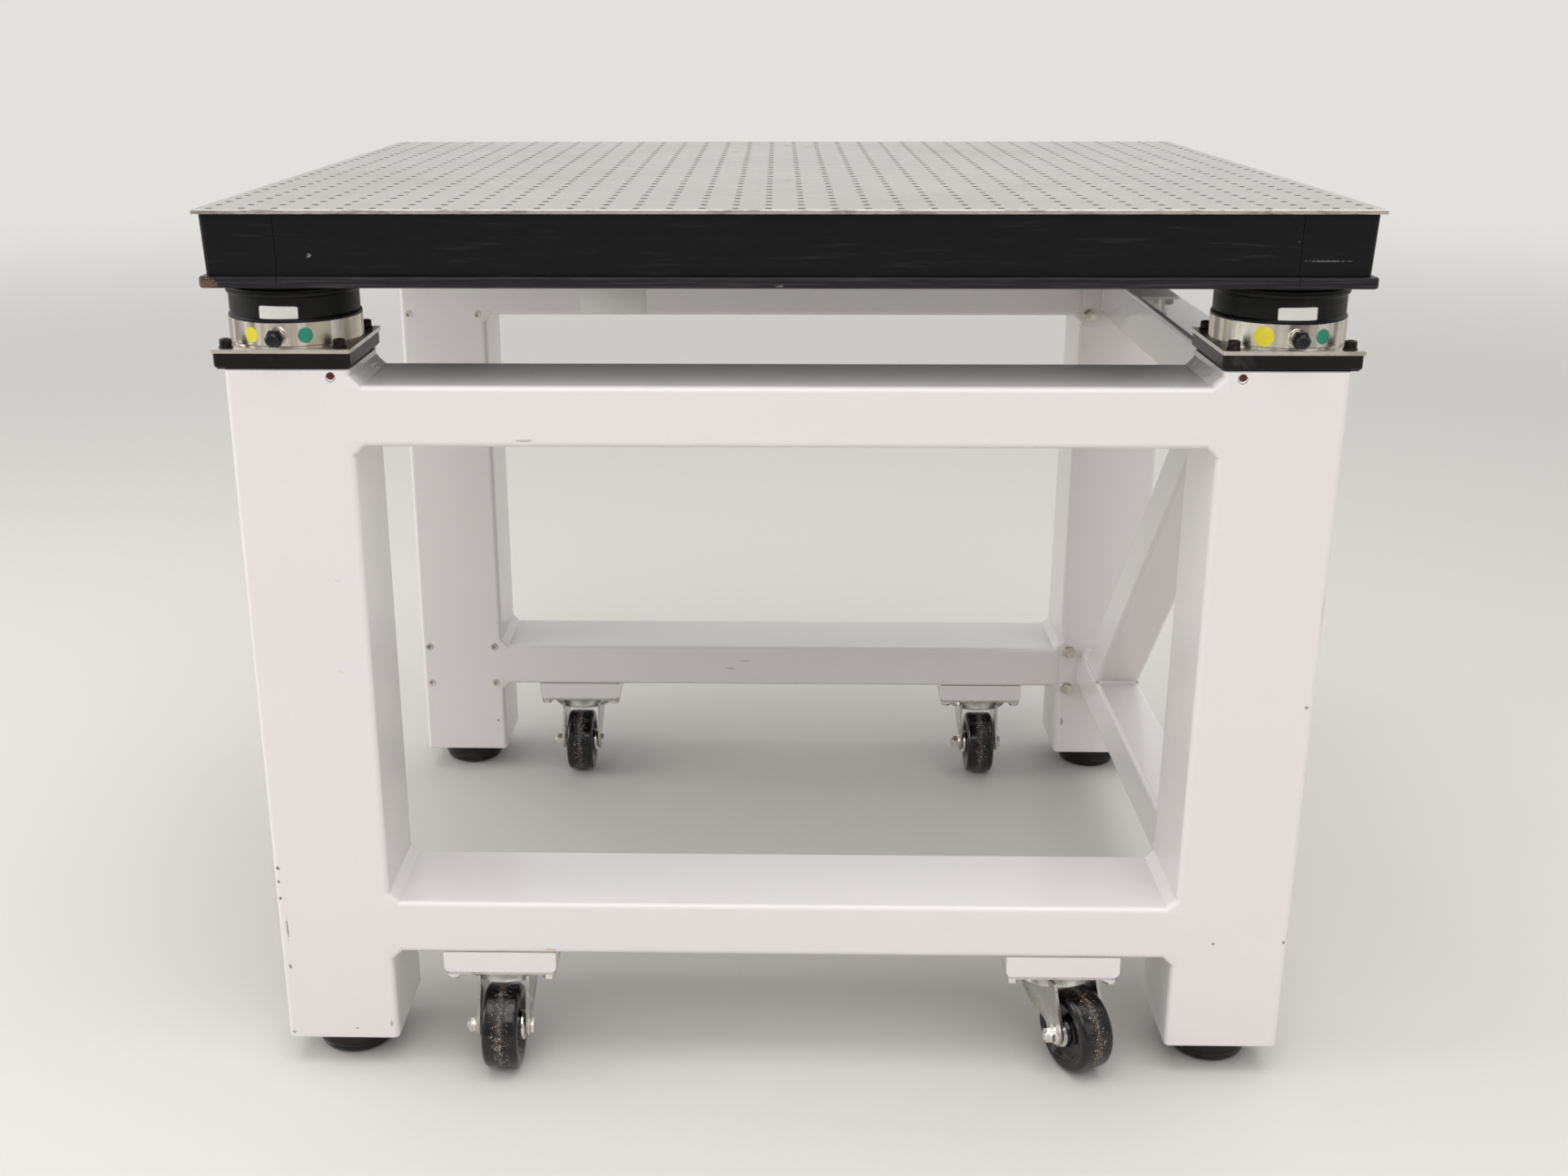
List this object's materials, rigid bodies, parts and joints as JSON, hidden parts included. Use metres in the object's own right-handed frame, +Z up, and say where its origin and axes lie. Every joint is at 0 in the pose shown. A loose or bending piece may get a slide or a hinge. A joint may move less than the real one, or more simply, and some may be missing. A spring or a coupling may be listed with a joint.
{
  "type": "optical table",
  "caption": "Optical table: a honeycomb breadboard with tapped holes on air isolators, on a welded frame with levelling pads and swivel casters.",
  "frame": {"origin": "on the floor, below the middle of the table's frame", "axes": "+X to the right along the table's width, +Y from the front to the back, +Z up"},
  "size_m": [0.911, 0.788, 0.767],
  "materials": {
    "skin_steel": "ground, lightly stained, with rows of tapped holes",
    "core_metal": "folded sheet, closed in",
    "underside_paint": "satin",
    "panel_plastic": "satin, scuffed along the lip",
    "frame_paint": "glossy warm white coating",
    "frame_bolt_zinc": "zinc plated",
    "base_plate_paint": "satin black",
    "sheet_aluminium": "brushed",
    "ring_aluminium": "turned",
    "isolator_rubber": "moulded",
    "screw_black": "black oxide",
    "valve_metal": "machined",
    "cap_plastic": "moulded",
    "caster_zinc": "zinc plated",
    "axle_zinc": "zinc plated",
    "wheel_rubber": "dusty tread",
    "pad_plastic": "satin",
    "stem_zinc": "zinc plated"
  },
  "bodies": {
    "frame": {"top_skin": "skin_steel", "honeycomb_core": "core_metal", "bottom_skin": "underside_paint", "edge_panel_front": "panel_plastic", "edge_panel_rear": "panel_plastic", "edge_panel_left": "panel_plastic", "edge_panel_right": "panel_plastic", "corner_trims": "panel_plastic", "leg_fl": "frame_paint", "leg_fr": "frame_paint", "leg_rl": "frame_paint", "leg_rr": "frame_paint", "upper_rail_front": "frame_paint", "upper_rail_rear": "frame_paint", "lower_rail_front": "frame_paint", "lower_rail_rear": "frame_paint", "side_upper_rail": "frame_paint", "side_lower_rail": "frame_paint", "side_brace": "frame_paint", "side_end_plates": "frame_paint", "caster_risers": "frame_paint", "side_frame_bolts": "frame_bolt_zinc", "isolator_base_plates": "base_plate_paint", "isolator_sheets": "sheet_aluminium", "isolator_rings": "ring_aluminium", "isolator_rubbers": "isolator_rubber", "isolator_screws": "screw_black", "valve_bosses": "valve_metal", "valve_caps": "cap_plastic", "caster_plates": "caster_zinc", "foot_pads": "pad_plastic", "foot_stems": "stem_zinc"},
    "caster_fl": {"caster_fork_fl": "caster_zinc", "caster_axle_fl": "axle_zinc"},
    "wheel_fl": {"caster_wheel_fl": "wheel_rubber"},
    "caster_fr": {"caster_fork_fr": "caster_zinc", "caster_axle_fr": "axle_zinc"},
    "wheel_fr": {"caster_wheel_fr": "wheel_rubber"},
    "caster_rl": {"caster_fork_rl": "caster_zinc", "caster_axle_rl": "axle_zinc"},
    "wheel_rl": {"caster_wheel_rl": "wheel_rubber"},
    "caster_rr": {"caster_fork_rr": "caster_zinc", "caster_axle_rr": "axle_zinc"},
    "wheel_rr": {"caster_wheel_rr": "wheel_rubber"}
  },
  "joints": [
    {"name": "swivel_fl", "type": "hinge", "parent": "frame", "child": "caster_fl", "pos_m": [-0.25, -0.321, 0.09], "axis": [0, 0, 1], "continuous": true},
    {"name": "spin_fl", "type": "hinge", "parent": "caster_fl", "child": "wheel_fl", "pos_m": [-0.25, -0.362, 0.0385], "axis": [1, 0, 0], "continuous": true},
    {"name": "swivel_fr", "type": "hinge", "parent": "frame", "child": "caster_fr", "pos_m": [0.25, -0.321, 0.09], "axis": [0, 0, 1], "continuous": true},
    {"name": "spin_fr", "type": "hinge", "parent": "caster_fr", "child": "wheel_fr", "pos_m": [0.26733, -0.35816, 0.0385], "axis": [0.9063, 0.4226, 0], "continuous": true},
    {"name": "swivel_rl", "type": "hinge", "parent": "frame", "child": "caster_rl", "pos_m": [-0.25, 0.321, 0.09], "axis": [0, 0, 1], "continuous": true},
    {"name": "spin_rl", "type": "hinge", "parent": "caster_rl", "child": "wheel_rl", "pos_m": [-0.25, 0.28, 0.0385], "axis": [1, 0, 0], "continuous": true},
    {"name": "swivel_rr", "type": "hinge", "parent": "frame", "child": "caster_rr", "pos_m": [0.25, 0.321, 0.09], "axis": [0, 0, 1], "continuous": true},
    {"name": "spin_rr", "type": "hinge", "parent": "caster_rr", "child": "wheel_rr", "pos_m": [0.25, 0.28, 0.0385], "axis": [1, 0, 0], "continuous": true}
  ]
}
